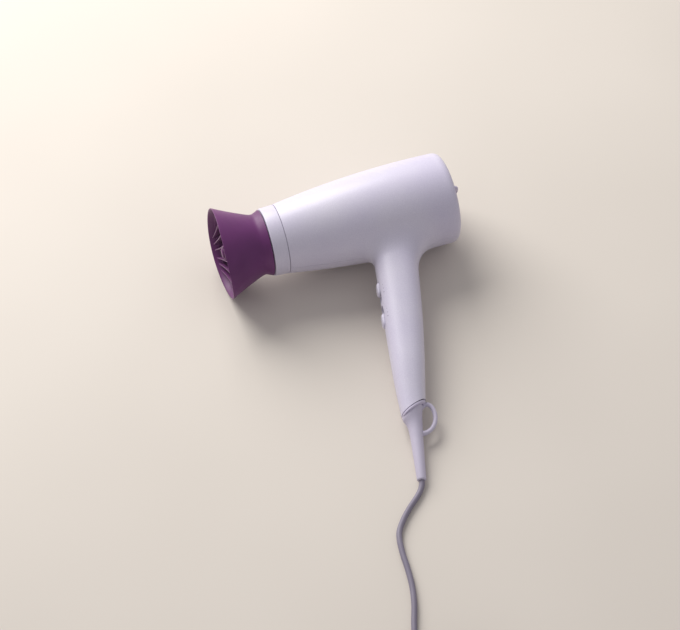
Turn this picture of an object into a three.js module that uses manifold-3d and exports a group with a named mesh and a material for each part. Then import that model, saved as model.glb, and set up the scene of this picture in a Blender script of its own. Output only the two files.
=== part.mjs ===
// A hand-held hair dryer with its flared diffuser attachment snapped on the outlet, lying on its side.
// Millimetres. Design frame: the barrel's axis is x (outlet at -x, air inlet at +x), the handle hangs
// towards -y, and z = 0 is the plane where the two housing shells meet.
// The whole object is then rolled about the barrel's axis until the cord end of the handle touches the
// surface, and set so that the surface is z = 0 and the origin is under the middle of its box.
import * as THREE from "three";
import { mergeVertices } from "three/addons/utils/BufferGeometryUtils.js";
import Module from "manifold-3d";

const wasm = await Module();
wasm.setup();

// ---------------------------------------------------------------- driving dimensions
const GAP = 0.3; // clearance between neighbouring pieces
const SLIVER = 4e-3; // corners nearer than this are one corner
const WALL = 2.2; // housing wall
const REST_ROLL = THREE.MathUtils.degToRad(8.4); // roll on the surface
const BOX_CENTRE = new THREE.Vector2(57.2, -106.71); // box centre seen from the barrel axis, x and y

// Barrel
const BARREL_RADIUS = 42.3; // at its widest, and the height of the axis over the surface
const SEAM_RADIUS = 32.0; // at the seam behind the front ring, x = 0
const WIDEST_X = 130;
const SHOULDER_X = 150; // the rear shoulder starts here
const HOUSING_END_X = 159.5;
const INLET_RADIUS = 38.4;
const REAR_CREST_X = 164.4; // middle of the domed rear grille
const GRIP = { crest: 170.4, low: 1.5, high: 7.5, half: 7 }; // ridge to turn the rear grille by

// Front ring and the nose that attachments snap on
const RING_FRONT_X = -14.9;
const RING_RADIUS = 31.2;
const NOSE_FRONT_X = -24;
const NOSE_RADIUS = 24.6;

// Diffuser attachment
const MOUTH_X = -56;
const MOUTH_RADIUS = 42.3;
const NECK_X = -24.5;
const NECK_RADIUS = 27.9;
const COLLAR_REAR_X = -15.4;
const COLLAR_RADIUS = 30.2;
const HORN_WALL = 1.7;
const VANES = [-23, -14.5, -5.5, 7, 15.8, 24.5]; // how far each guide vane passes from the axis
const VANE_LEAN = -59; // degrees that the middle of the fan of vanes is turned about the axis
const VANE_FAN = 0.62; // degrees of fan per millimetre

// Handle: t runs down its axis from the barrel's axis, p towards the front
const HANDLE_TILT = THREE.MathUtils.degToRad(12.7);
const HANDLE_ROOT_X = 103.1;
const HANDLE_END_T = 199.5;
const HANDLE_TAPER_T = 150;
const END_SLANT = 0.6; // rise of the slanted handle end per millimetre towards the front
const BAND_HEIGHT = 2.8;
const RELIEF_TIP_T = 265.6;

// Switch sliders on the front of the handle
const SLIDE_TRAVEL = 7.4;
const THUMB = { length: 13, width: 9.6, rise: 2.1 };
const SLOT_LENGTH = THUMB.length + SLIDE_TRAVEL + 2 * GAP;
const HEAT_SLOT_T = 74.6; // upper end of the heat slot
const SPEED_SLOT_T = 98.6; // upper end of the speed slot
const RAIL_TILT = 0.0457; // the handle's front edge comes in by this much per millimetre

// Heater, motor and fan
const HEATER = { front: 5, rear: 68, radius: 27, sheet: 0.8 };
const BOARD_HALF = 19.6;
const COIL = { radius: 21.6, wire: 0.8, turns: 3, length: 24 };
const DUCT = { front: 84, rear: 112, radius: 37.4, hub: 15.9 };
const MOTOR = { front: 86, rear: 112, radius: 14 };
const FAN = { front: 118, rear: 134, radius: 37.2, blades: 7 };

// Mains lead, its coil and its plug
const CORD_RADIUS = 2.5;
const LEAD_COIL = { x: -50.4, y: -343, inner: 24.4, outer: 34.7, bottom: 1.3, top: 21.6 };
const TIE = { width: 8, sheet: 0.9 };
const LEAD_HEADING = THREE.MathUtils.degToRad(-18); // direction that the plug points in
const PLUG = { back: 52, front: 90, aside: -24, halfWidth: 17.8, halfHeight: 13, relief: 18 };
const PIN = { radius: 2.4, length: 19, apart: 19 };

// ---------------------------------------------------------------- materials
const paint = (color, roughness, metalness = 0) =>
  new THREE.MeshStandardMaterial({ color, roughness, metalness });
const PEARL = paint(0xdcd3ea, 0.3);
const LILAC = paint(0xc9bfdc, 0.4);
const PURPLE = paint(0x7d3f7c, 0.42);
const RUBBER = paint(0xc6bdd6, 0.6);
const CORD_GREY = paint(0x77717f, 0.6);
const MICA = paint(0xb9a98a, 0.8);
const BLACK = paint(0x202024, 0.6);
const STEEL = paint(0xb4b8bd, 0.35, 0.9);
const COPPER = paint(0xa9683f, 0.4, 0.8);
const CIRCUIT = paint(0x2e6b3f, 0.6);

// ---------------------------------------------------------------- solids
// Merges a geometry's vertices, drops collapsed triangles and turns its faces outwards.
function closed(geometry, tolerance = 1e-4) {
  const bare = geometry.clone();
  bare.deleteAttribute("normal");
  bare.deleteAttribute("uv");
  const merged = mergeVertices(bare, tolerance);
  const position = merged.attributes.position;
  const kept = [];
  let volume = 0;
  const corner = [new THREE.Vector3(), new THREE.Vector3(), new THREE.Vector3()];
  for (let i = 0; i < merged.index.count; i += 3) {
    const abc = [0, 1, 2].map((k) => merged.index.getX(i + k));
    if (new Set(abc).size < 3) continue;
    abc.forEach((v, k) => corner[k].fromBufferAttribute(position, v));
    volume += corner[0].dot(corner[1].clone().cross(corner[2]));
    kept.push(abc);
  }
  const faces = volume < 0 ? kept.map(([a, b, c]) => [a, c, b]) : kept;
  merged.setIndex(faces.flat());
  return merged;
}

function solid(geometry) {
  const shape = closed(geometry);
  return new wasm.Manifold(
    new wasm.Mesh({
      numProp: 3,
      vertProperties: new Float32Array(shape.attributes.position.array),
      triVerts: new Uint32Array(shape.index.array),
    }),
  );
}

// A cut solid as a geometry, without the slivers that cutting leaves.
function geometryOf(manifold) {
  const mesh = manifold.getMesh();
  const geometry = new THREE.BufferGeometry();
  geometry.setAttribute("position", new THREE.BufferAttribute(mesh.vertProperties, 3));
  geometry.setIndex(new THREE.BufferAttribute(mesh.triVerts, 1));
  return closed(geometry, SLIVER);
}

const joined = (...parts) => parts.map(solid).reduce((all, next) => all.add(next));

// Turns a profile of [x, radius] points about the barrel's axis.
function revolved(profile, segments = 30) {
  const points = profile.map(([x, radius]) => new THREE.Vector2(radius, x));
  return closed(new THREE.LatheGeometry(points, segments).rotateZ(-Math.PI / 2));
}

// A ring whose profile closes on itself.
const ring = (profile, segments) => revolved([...profile, profile[0]], segments);

// A plain hollow cylinder on the barrel's axis.
const sleeve = (front, rear, inner, outer, segments) =>
  ring([[front, inner], [rear, inner], [rear, outer], [front, outer]], segments);

// A round bar or disc along x.
const bar = (front, rear, radius, segments = 20) =>
  revolved([[front, 0], [front, radius], [rear, radius], [rear, 0]], segments);

// A round section with an even number of sides, swept along a smooth curve.
function tube(points, radius, sides, steps) {
  const circle = new THREE.Shape().absarc(0, 0, radius, 0, 2 * Math.PI);
  const path = new THREE.CatmullRomCurve3(points);
  return closed(
    new THREE.ExtrudeGeometry(circle, {
      steps,
      curveSegments: sides / 2,
      extrudePath: path,
      bevelEnabled: false,
    }),
  );
}

const box = (from, to) =>
  new THREE.BoxGeometry(to[0] - from[0], to[1] - from[1], to[2] - from[2]).translate(
    (from[0] + to[0]) / 2,
    (from[1] + to[1]) / 2,
    (from[2] + to[2]) / 2,
  );

// Moves every vertex of a geometry to the place that a function gives it.
function shaped(geometry, place) {
  const position = geometry.attributes.position;
  const point = new THREE.Vector3();
  for (let i = 0; i < position.count; i++) {
    place(point.fromBufferAttribute(position, i));
    position.setXYZ(i, point.x, point.y, point.z);
  }
  return closed(geometry);
}

// ---------------------------------------------------------------- the handle's own frame
const ease = (u) => THREE.MathUtils.smoothstep(u, 0, 1);
const taper = (t) => ease((t - HANDLE_TAPER_T) / 56);
const fillet = (t, end, radius) =>
  t < end ? radius - Math.sqrt(radius ** 2 - Math.min(end - t, radius) ** 2) : 0;
// Rises from 0 in proportion to how far t is past a place, after a soft bend there.
const past = (t, place) => 8 * Math.log1p(Math.exp((t - place) / 8));
const frontHalf = (t) => 22.25 - RAIL_TILT * t - 0.07 * past(t, 168) + fillet(t, 61, 11);
const rearHalf = (t) => 20.85 - 0.027 * t - 0.05 * past(t, 118) + fillet(t, 61.7, 26);
const sideHalf = (t) => 18.5 - 0.02 * t - 2.6 * taper(t) + fillet(t, 47, 9);

// Handle coordinates to design coordinates.
function fromHandle(t, p, z) {
  const sin = Math.sin(HANDLE_TILT);
  const cos = Math.cos(HANDLE_TILT);
  return new THREE.Vector3(HANDLE_ROOT_X - sin * t - cos * p, sin * p - cos * t, z);
}

// Turns a geometry made with x = p, y = -t into the handle's place.
const inHandle = (geometry) =>
  shaped(geometry, (v) => v.copy(fromHandle(-v.y, v.x, v.z)));

// A rounded bar down the handle's axis, inset from the handle's skin, with its end slanted like it.
// Its sections crowd towards the top, where the handle spreads into the barrel.
function handleBar(from, to, inset, sides = 20, steps = 12) {
  const squareness = 2 / 2.25;
  const crowding = 1.8;
  return shaped(new THREE.CylinderGeometry(1, 1, 1, sides, steps), (v) => {
    const t = from + (0.5 - v.y) ** crowding * (to - from);
    const half = (v.x > 0 ? frontHalf(t) : rearHalf(t)) - inset;
    const p = half * Math.sign(v.x) * Math.abs(v.x) ** squareness;
    const z = (sideHalf(t) - inset) * Math.sign(v.z) * Math.abs(v.z) ** squareness;
    v.copy(fromHandle(t + END_SLANT * p * taper(t), p, z));
  });
}

// ---------------------------------------------------------------- housing
const barrelRadius = (x) =>
  BARREL_RADIUS - (BARREL_RADIUS - SEAM_RADIUS) * (1 - x / WIDEST_X) ** 2;

// Outline of the barrel from the seam to the inlet, drawn in by an inset.
function barrelOutline(inset, steps) {
  const points = [];
  for (let i = 0; i <= steps; i++) {
    const x = (SHOULDER_X * i) / steps;
    points.push([x, barrelRadius(x) - inset]);
  }
  const edge = barrelRadius(SHOULDER_X) - INLET_RADIUS;
  for (const turn of [0.35, 0.65, 0.85, 1]) {
    const angle = (turn * Math.PI) / 2;
    const x = SHOULDER_X + (HOUSING_END_X - SHOULDER_X) * Math.sin(angle);
    points.push([x, INLET_RADIUS + edge * Math.cos(angle) - inset]);
  }
  return points;
}

const SCREWS = [{ t: 131, p: -9 }, { t: 174, p: 0 }];
const SCREW = { head: 2.8, shank: 1.3, seat: -7, length: 13 };
const CLAMP_SCREWS = [{ t: 184, p: -4.8 }, { t: 184, p: 5.6 }];
const CLAMP = { near: 3.6, far: 6, post: 6.3 };

// A round bar across the handle, from one z to another.
const crossBar = ({ t, p }, from, to, radius) =>
  inHandle(
    new THREE.CylinderGeometry(radius, radius, to - from, 14)
      .rotateX(Math.PI / 2)
      .translate(p, -t, (from + to) / 2),
  );

// The opening that one slider's thumb moves in, through the front wall of the handle.
function slot(top) {
  const front = frontHalf(top);
  const half = THUMB.width / 2 + GAP;
  return inHandle(box([front - 8, -top - SLOT_LENGTH, -half], [front + 6, -top, half]));
}

// Both shells as one skin, before it is parted at z = 0.
function wholeHousing() {
  const outer = joined(
    revolved([[0, 0], ...barrelOutline(0, 6), [HOUSING_END_X, 0]], 32),
    handleBar(30, HANDLE_END_T, 0),
  );
  const beyond = HOUSING_END_X + 1;
  const boreProfile = [
    [-1, 0],
    [-1, SEAM_RADIUS - WALL],
    ...barrelOutline(WALL, 5),
    [beyond, INLET_RADIUS - WALL],
    [beyond, 0],
  ];
  const inner = joined(revolved(boreProfile, 24), handleBar(32, HANDLE_END_T + 6, WALL, 16));
  return [HEAT_SLOT_T, SPEED_SLOT_T]
    .map((top) => solid(slot(top)))
    .reduce((shell, hole) => shell.subtract(hole), outer.subtract(inner));
}

const FAR = 60; // past every wall of the housing

// A bar across the handle that ends inside its wall.
const post = (at, from, to, radius) =>
  solid(crossBar(at, from, to, radius)).intersect(solid(handleBar(110, 196, WALL / 2)));

// The shell at +z, with blind posts for the housing screws and the cable clamp's screws.
function leftShell(whole) {
  let shell = whole.intersect(solid(box([-5, -230, GAP / 2], [175, 50, FAR])));
  for (const screw of SCREWS) {
    const bore = crossBar(screw, -1, SCREW.length + SCREW.seat + GAP, SCREW.shank + GAP);
    shell = shell.add(post(screw, GAP / 2, FAR, 3.4)).subtract(solid(bore));
  }
  for (const screw of CLAMP_SCREWS) {
    const bore = crossBar(screw, 0, CLAMP.post + 3.2, 1 + GAP);
    shell = shell.add(post(screw, CLAMP.post, FAR, 2.6)).subtract(solid(bore));
  }
  return geometryOf(shell);
}

// The shell at -z, with the sunk holes that the housing screws go in through.
function rightShell(whole) {
  let shell = whole.intersect(solid(box([-5, -230, -FAR], [175, 50, -GAP / 2])));
  for (const screw of SCREWS) {
    const bore = crossBar(screw, -FAR, 1, SCREW.shank + GAP);
    const sink = crossBar(screw, -FAR, SCREW.seat, SCREW.head + GAP);
    shell = shell.add(post(screw, -FAR, -GAP / 2, 3.9)).subtract(solid(bore)).subtract(solid(sink));
  }
  return geometryOf(shell);
}

const screwShape = (screw) =>
  geometryOf(
    joined(
      crossBar(screw, SCREW.seat - 2.4, SCREW.seat - GAP, SCREW.head),
      crossBar(screw, SCREW.seat - 1, SCREW.seat + SCREW.length - GAP, SCREW.shank),
    ),
  );

// ---------------------------------------------------------------- outlet
const frontRing = () =>
  ring([
    [4, SEAM_RADIUS - WALL - GAP],
    [-GAP, SEAM_RADIUS - WALL - GAP],
    [-GAP, RING_RADIUS + 0.5],
    [RING_FRONT_X + 1, RING_RADIUS],
    [RING_FRONT_X, RING_RADIUS - 1],
    [RING_FRONT_X, NOSE_RADIUS],
    [NOSE_FRONT_X, NOSE_RADIUS],
    [NOSE_FRONT_X, NOSE_RADIUS - 1.6],
    [RING_FRONT_X + 1.8, NOSE_RADIUS - 1.6],
    [RING_FRONT_X + 1.8, RING_RADIUS - WALL],
    [4, RING_RADIUS - WALL - 0.6],
  ]);

// Concentric rings on four spokes, behind the nose.
function outletGrille() {
  const front = RING_FRONT_X + 4;
  const rear = front + 2;
  const rims = [9, 16, 23, 28].map((r) => sleeve(front, rear, r - 1.1, r, 16));
  const spokes = [0, 1].map((k) => box([front, -27.5, -0.7], [rear, 27.5, 0.7]).rotateX((k * Math.PI) / 2));
  return geometryOf(joined(bar(front, rear, 3, 10), ...rims, ...spokes));
}

// ---------------------------------------------------------------- diffuser attachment
// Outer radius of the horn between the mouth and the neck: a straight flare that eases into the neck.
function hornRadius(x) {
  const u = (x - NECK_X) / (MOUTH_X - NECK_X);
  return NECK_RADIUS + (MOUTH_RADIUS - NECK_RADIUS) * (0.86 * u + 0.14 * u * u);
}

function hornShell() {
  const steps = 3;
  const outer = [];
  for (let i = 0; i <= steps; i++) {
    const x = MOUTH_X + ((NECK_X - MOUTH_X) * i) / steps;
    outer.push([x, hornRadius(x)]);
  }
  const inner = outer.map(([x, r]) => [x + 0.4, r - HORN_WALL]).reverse();
  const bore = NOSE_RADIUS + 1.7;
  return ring(
    [
      ...outer,
      [NECK_X + 3.2, NECK_RADIUS + 0.3],
      [NECK_X + 6.6, NECK_RADIUS + 1.2],
      [COLLAR_REAR_X, COLLAR_RADIUS],
      [COLLAR_REAR_X, COLLAR_RADIUS - 1.8],
      [COLLAR_REAR_X - 2, bore + 0.6],
      [NECK_X + 1.4, bore],
      ...inner,
    ],
    34,
  );
}

const BLADE = { front: MOUTH_X + 4.6, rear: MOUTH_X + 17, hub: 7, thick: 1.1 };

// One straight guide vane right across the horn, past its axis at a given distance.
const vane = (offset) =>
  box([BLADE.front, -MOUTH_RADIUS, -BLADE.thick / 2], [BLADE.rear, MOUTH_RADIUS, BLADE.thick / 2])
    .translate(0, 0, -offset)
    .rotateX(THREE.MathUtils.degToRad(VANE_LEAN + VANE_FAN * offset));

function bladeInsert() {
  const liner = (x, depth) => [x, hornRadius(x) - HORN_WALL - 0.7 - depth];
  const rim = ring([
    liner(BLADE.front, 0),
    liner(BLADE.rear, 0),
    liner(BLADE.rear, 1.2),
    liner(BLADE.front, 1.2),
  ], 28);
  const hub = revolved([
    [BLADE.front, 0],
    [BLADE.front, BLADE.hub - 1.5],
    [BLADE.front + 1.5, BLADE.hub],
    [BLADE.rear, BLADE.hub],
    [BLADE.rear, 0],
  ], 14);
  const reach = (x) => [x, hornRadius(x) - HORN_WALL - 1.1];
  const room = revolved([[BLADE.front, 0], reach(BLADE.front), reach(BLADE.rear), [BLADE.rear, 0]], 28);
  const vanes = joined(...VANES.map(vane)).intersect(solid(room));
  return geometryOf(joined(hub, rim).add(vanes));
}

const hubCap = () =>
  revolved([
    [BLADE.front - 2.2, 0],
    [BLADE.front - 1.8, BLADE.hub - 3.4],
    [BLADE.front - GAP, BLADE.hub - 2],
    [BLADE.front - GAP, 0],
  ], 14);

// The spring ring that grips the nose and lets the horn turn on it.
const snapRing = () =>
  sleeve(NECK_X + 1.2, COLLAR_REAR_X - 2.6, NOSE_RADIUS + GAP, NOSE_RADIUS + 1.4, 30);

// ---------------------------------------------------------------- heater
const heaterTube = () =>
  sleeve(HEATER.front, HEATER.rear, HEATER.radius - HEATER.sheet, HEATER.radius, 32);

// Two crossed boards, half-lapped: each keeps clear of the other along half of their length.
function micaBoard(turned) {
  const front = HEATER.front + 2;
  const rear = HEATER.rear - 2;
  const half = HEATER.sheet / 2;
  const middle = (front + rear) / 2;
  const sheet = solid(box([front, -BOARD_HALF, -half], [rear, BOARD_HALF, half]));
  const lap = turned
    ? box([front - 1, -half - GAP, -2], [middle + GAP, half + GAP, 2])
    : box([middle - GAP, -half - GAP, -2], [rear + 1, half + GAP, 2]);
  return geometryOf(sheet.subtract(solid(lap))).rotateX(turned ? Math.PI / 2 : 0);
}

// A resistance wire wound round the edges of the boards.
function heatingCoil(front) {
  const points = [];
  const perTurn = 10;
  for (let i = 0; i <= COIL.turns * perTurn; i++) {
    const angle = (2 * Math.PI * i) / perTurn;
    const x = front + (COIL.length * i) / (COIL.turns * perTurn);
    points.push(new THREE.Vector3(x, COIL.radius * Math.cos(angle), COIL.radius * Math.sin(angle)));
  }
  return tube(points, COIL.wire, 4, COIL.turns * perTurn);
}

// A disc and a small capsule, each lying on one of the boards.
const thermostat = () =>
  closed(new THREE.CylinderGeometry(5.8, 5.8, 4, 14).rotateX(Math.PI / 2).translate(22, 10.5, 2.8));
const thermalFuse = () =>
  closed(new THREE.CylinderGeometry(2, 2, 11, 10).rotateZ(Math.PI / 2).translate(50, -9, 2.8));

// ---------------------------------------------------------------- motor and fan
function fanDuct() {
  const outer = sleeve(DUCT.front, DUCT.rear, DUCT.radius - 1.6, DUCT.radius, 24);
  const hub = sleeve(DUCT.front, DUCT.rear, MOTOR.radius + GAP, DUCT.hub, 20);
  const vanes = Array.from({ length: 6 }, (_, i) =>
    box([DUCT.front + 4, DUCT.hub - 0.8, -0.7], [DUCT.rear - 4, DUCT.radius - 0.8, 0.7]).rotateX(
      (i * Math.PI) / 3,
    ),
  );
  return geometryOf(joined(outer, hub, ...vanes));
}

const motorCan = () =>
  ring([
    [MOTOR.front, 3],
    [MOTOR.rear, 3],
    [MOTOR.rear, MOTOR.radius - 1],
    [MOTOR.rear - 1, MOTOR.radius],
    [MOTOR.front, MOTOR.radius],
  ], 20);
const motorEndCap = () =>
  ring([
    [MOTOR.front - 5, 3],
    [MOTOR.front - GAP, 3],
    [MOTOR.front - GAP, MOTOR.radius - 1],
    [MOTOR.front - 5, MOTOR.radius - 3],
  ], 16);
const rectifierBoard = () => sleeve(MOTOR.front - 8, MOTOR.front - 6.4, 3, 11, 14);
const motorShaft = () => bar(MOTOR.front - 9, FAN.rear - 1, 1.6, 12);

const FAN_ROOT = 9; // the blades start inside the hub

// A flat blade standing out from the hub, pitched across the air stream.
function fanBlade(index) {
  const tip = FAN.radius - 0.5;
  const pitch = 0.6;
  return new THREE.BoxGeometry(FAN.rear - FAN.front - 3, 1.4, tip - FAN_ROOT)
    .rotateZ(pitch)
    .translate((FAN.front + FAN.rear) / 2, 0, (tip + FAN_ROOT) / 2)
    .rotateX((2 * Math.PI * index) / FAN.blades);
}

function fanImpeller() {
  const hub = ring([
    [FAN.front, 1.6 + GAP],
    [FAN.rear, 1.6 + GAP],
    [FAN.rear, 12],
    [FAN.front, 12],
  ], 2 * FAN.blades);
  return geometryOf(joined(hub, ...Array.from({ length: FAN.blades }, (_, i) => fanBlade(i))));
}

// ---------------------------------------------------------------- air inlet
const GRILLE_RIM = INLET_RADIUS - WALL - GAP;
const GRILLE_SLOTS = 16;

// A domed disc with radial slots and a ridge to grip it by, which turns in the inlet like a bayonet.
function rearGrille() {
  const dome = (inset) => {
    const points = [];
    for (let i = 0; i <= 4; i++) {
      const r = (INLET_RADIUS - 0.4) * (1 - i / 4);
      const drop = (REAR_CREST_X - HOUSING_END_X - GAP) * (r / INLET_RADIUS) ** 2.2;
      points.push([REAR_CREST_X - inset - drop, r]);
    }
    return points;
  };
  const cap = [
    ...dome(0),
    [REAR_CREST_X - 2, 0],
    ...dome(2).reverse().slice(1, 4),
    [HOUSING_END_X - 1.4, GRILLE_RIM - 1.8],
    [HOUSING_END_X - 6, GRILLE_RIM - 1.8],
    [HOUSING_END_X - 6, GRILLE_RIM],
    [HOUSING_END_X + GAP, GRILLE_RIM],
  ];
  let shell = solid(ring(cap, 24));
  for (let i = 0; i < GRILLE_SLOTS; i++) {
    const cut = box([HOUSING_END_X - 1, 13, -1.1], [REAR_CREST_X + 1, 33.5, 1.1]);
    shell = shell.subtract(solid(cut.rotateX((2 * Math.PI * i) / GRILLE_SLOTS)));
  }
  const ridge = box([REAR_CREST_X - 1.8, GRIP.low, -GRIP.half], [GRIP.crest, GRIP.high, GRIP.half]);
  return geometryOf(shell.add(solid(ridge)));
}

const filterMesh = () => bar(HOUSING_END_X - 8, HOUSING_END_X - 7.2, GRILLE_RIM - 0.6, 24);

// ---------------------------------------------------------------- switches in the handle
// A box in handle coordinates: t downwards, p to the front, z across.
const handleBox = (t, p, z) => inHandle(box([p[0], -t[1], z[0]], [p[1], -t[0], z[1]]));

// The front face of the rail that the thumbs ride on, at a place down the handle.
const railFace = (t) => frontHalf(t);

// A thumb piece with ridges, on a plate behind the wall. Made leaning along the handle's front edge.
function slider(thumbTop) {
  const middle = thumbTop + THUMB.length / 2;
  const face = railFace(middle);
  const halfWidth = THUMB.width / 2;
  const halfLength = THUMB.length / 2;
  const pieces = [
    box([-5.4, -halfLength - 1, -halfWidth - 1.2], [-3.8, halfLength + 1, halfWidth + 1.2]),
    box([-4.2, -halfLength, -halfWidth], [THUMB.rise - 0.8, halfLength, halfWidth]),
  ];
  for (const offset of [-4.2, -1.4, 1.4, 4.2]) {
    const low = [THUMB.rise - 1.2, offset - 0.7, -halfWidth + 1];
    const high = [THUMB.rise, offset + 0.7, halfWidth - 1];
    pieces.push(box(low, high));
  }
  const body = geometryOf(joined(...pieces));
  body.rotateZ(-RAIL_TILT);
  body.translate(face, -middle, 0);
  return inHandle(body);
}

const switchBoard = () => handleBox([70, 124], [4, 5.4], [-8, 8]);
const switchBlock = (top) => handleBox([top + 1, top + 17], [5.7, 11], [-4.5, 4.5]);

// A bridge that two screws press on the lead, just inside the handle's end.
function cableClamp() {
  const bridge = solid(handleBox([181, 187], [-7.2, 8], [CLAMP.near, CLAMP.far]));
  return geometryOf(
    CLAMP_SCREWS.reduce((left, at) => left.subtract(solid(crossBar(at, 0, FAR, 1 + GAP))), bridge),
  );
}

const clampScrew = (at) =>
  geometryOf(
    joined(
      crossBar(at, CLAMP.near - 1.8, CLAMP.near - GAP, 2.2),
      crossBar(at, CLAMP.near - 1, CLAMP.post + 3, 1),
    ),
  );

// Insulated wires from the lead up to the switches, the heater and the motor: places down the handle,
// to the front and across.
const WIRES = {
  wire_live: [[188.4, 2.4, 0], [181, 5.2, -1.5], [174, 6.4, -3], [150, 7, -4.5], [126, 5, -4]],
  wire_neutral: [
    [188.4, -2.4, 0], [181, -5, -0.6], [174, -6.6, 1], [150, -3.2, 4], [110, -2, 5], [72, -3, 4], [46, 8, 1],
  ],
  wire_heater: [[68, 4.7, -4], [58, 10, -5], [46, 16, -6], [36, 22.2, -6], [29, 26.4, -5]],
  wire_motor: [[68, 4.7, 4], [56, 12, 5], [42, 18, 6], [28, 22.3, 5], [15, 24.5, 4]],
};

const wire = (route) => tube(route.map(([t, p, z]) => fromHandle(t, p, z)), 1.1, 6, 10);

// ---------------------------------------------------------------- handle end
// The slanted band under the handle, with the hole that the strain relief comes through.
function endBand() {
  const length = HANDLE_END_T + GAP + BAND_HEIGHT;
  const whole = solid(handleBar(HANDLE_END_T + GAP, length, 0.4, 20, 1));
  const hole = inHandle(new THREE.CylinderGeometry(6, 6, 60, 20).translate(0, -HANDLE_END_T, 0));
  return geometryOf(whole.subtract(solid(hole)));
}

// Cut below this slanted plane: the underside of the band.
function belowBand() {
  const reach = 60;
  const under = HANDLE_END_T + 2 * GAP + BAND_HEIGHT;
  return shaped(box([-reach, -reach, -reach], [reach, 0, reach]), (v) =>
    v.copy(fromHandle(under - v.y + END_SLANT * v.x * taper(under), v.x, v.z)),
  );
}

function strainRelief() {
  const turned = (profile) =>
    inHandle(new THREE.LatheGeometry(profile.map(([t, r]) => new THREE.Vector2(r, -t)), 16));
  const cone = turned([
    [190, 0],
    [190, 9.2],
    [203, 8.6],
    [208, 7.4],
    [214, 6.5],
    [226, 5.7],
    [245, 4.9],
    [RELIEF_TIP_T - 0.6, 3.9],
    [RELIEF_TIP_T, 3.4],
    [RELIEF_TIP_T, 0],
  ]);
  const stem = turned([[189, 0], [189, 7.4], [191.4, 7.4], [191.4, 5.6], [230, 5.6], [230, 0]]);
  return geometryOf(solid(cone).intersect(solid(belowBand())).add(solid(stem)));
}

function hangingLoop() {
  const route = [
    [200.6, -10.6, 0],
    [199.4, -13, 0],
    [200.6, -15.6, 0],
    [204.2, -17.4, 0],
    [209.6, -17.8, 0],
    [215.4, -16.2, 0],
    [219.8, -12.8, 0],
    [222.2, -7.9, 0],
  ];
  return tube(route.map(([t, p, z]) => fromHandle(t, p, z)), 1.9, 8, 12);
}

// ---------------------------------------------------------------- mains lead, in the final frame
const LEAD_ROUTE = [
  [-12.3, -149.9, 4.4],
  [-13.9, -154.6, 3.5],
  [-17.2, -159.6, 2.8],
  [-22.6, -165, 2.6],
  [-30.8, -172.2, 2.6],
  [-40, -181.8, 2.6],
  [-47.6, -193.4, 2.6],
  [-50.6, -209, 2.6],
  [-51.6, -226, 2.6],
  [-53.4, -243, 2.6],
  [-57.4, -259.6, 2.6],
  [-63.2, -276, 2.6],
  [-68.4, -293, 2.8],
  [-72.6, -306.6, 3.4],
  [-74.8, -314.2, 3.7],
];

const leadTube = () => tube(LEAD_ROUTE.map((p) => new THREE.Vector3(...p)), CORD_RADIUS, 8, 24);

// Puts a geometry made at the coil's middle, with x = the plug's direction, in its place.
const besideCoil = (geometry) =>
  closed(geometry.rotateZ(LEAD_HEADING).translate(LEAD_COIL.x, LEAD_COIL.y, 0));

const sectionRing = ({ inner, outer, bottom, top }) =>
  [[inner, bottom], [outer, bottom], [outer, top], [inner, top], [inner, bottom]].map(
    ([r, z]) => new THREE.Vector2(r, z),
  );

const leadCoil = () => besideCoil(new THREE.LatheGeometry(sectionRing(LEAD_COIL), 32).rotateX(Math.PI / 2));

// A strap round the bundle of turns.
function coilTie() {
  const { inner, outer, bottom, top } = LEAD_COIL;
  const half = TIE.width / 2;
  const near = inner - GAP - 0.5;
  const far = outer + GAP + 0.5;
  const under = bottom - GAP;
  const over = top + GAP;
  const strap = solid(
    box([-half, near - TIE.sheet, under - TIE.sheet], [half, far + TIE.sheet, over + TIE.sheet]),
  );
  const inside = solid(box([-half - 1, near, under], [half + 1, far, over]));
  return besideCoil(geometryOf(strap.subtract(inside)));
}

// A rounded bar along the plug's axis, whose half width and half height come from a function of x.
const plugBar = (from, to, steps, size) =>
  besideCoil(
    shaped(new THREE.CylinderGeometry(1, 1, 1, 20, steps).rotateZ(Math.PI / 2), (v) => {
      const x = from + (v.x + 0.5) * (to - from);
      const [wide, high] = size(x);
      v.set(x, PLUG.aside + wide * v.y, PLUG.halfHeight + 0.1 + high * v.z);
    }),
  );

// The two-pin plug's body narrows towards the lead into a grip.
function plugBody() {
  const narrow = (x) => 0.48 + 0.52 * ease((x - PLUG.back) / (0.62 * (PLUG.front - PLUG.back)));
  return plugBar(PLUG.back, PLUG.front, 6, (x) => [PLUG.halfWidth * narrow(x), PLUG.halfHeight * narrow(x)]);
}

function plugRelief() {
  const back = PLUG.back - PLUG.relief;
  const front = PLUG.back - GAP;
  const size = (x) => 3.4 + (2.4 * (x - back)) / PLUG.relief;
  return plugBar(back, front, 1, (x) => [size(x), size(x)]);
}

const plugPin = (side) =>
  besideCoil(
    new THREE.CapsuleGeometry(PIN.radius, PIN.length - 2 * PIN.radius, 3, 12)
      .rotateZ(Math.PI / 2)
      .translate(
        PLUG.front + GAP + PIN.length / 2,
        PLUG.aside + (side * PIN.apart) / 2,
        PLUG.halfHeight + 0.1,
      ),
  );

// ---------------------------------------------------------------- assembly
const dryer = new THREE.Group();
const design = new THREE.Group();
design.rotation.x = REST_ROLL;
design.position.set(-BOX_CENTRE.x, -BOX_CENTRE.y, BARREL_RADIUS);
dryer.add(design);

function place(group, name, geometry, material) {
  const mesh = new THREE.Mesh(geometry, material);
  mesh.name = name;
  group.add(mesh);
  return mesh;
}

const housing = wholeHousing();
place(design, "left_housing", leftShell(housing), PEARL);
place(design, "right_housing", rightShell(housing), PEARL);
SCREWS.forEach((screw, i) => place(design, `housing_screw_${i + 1}`, screwShape(screw), STEEL));

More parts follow.
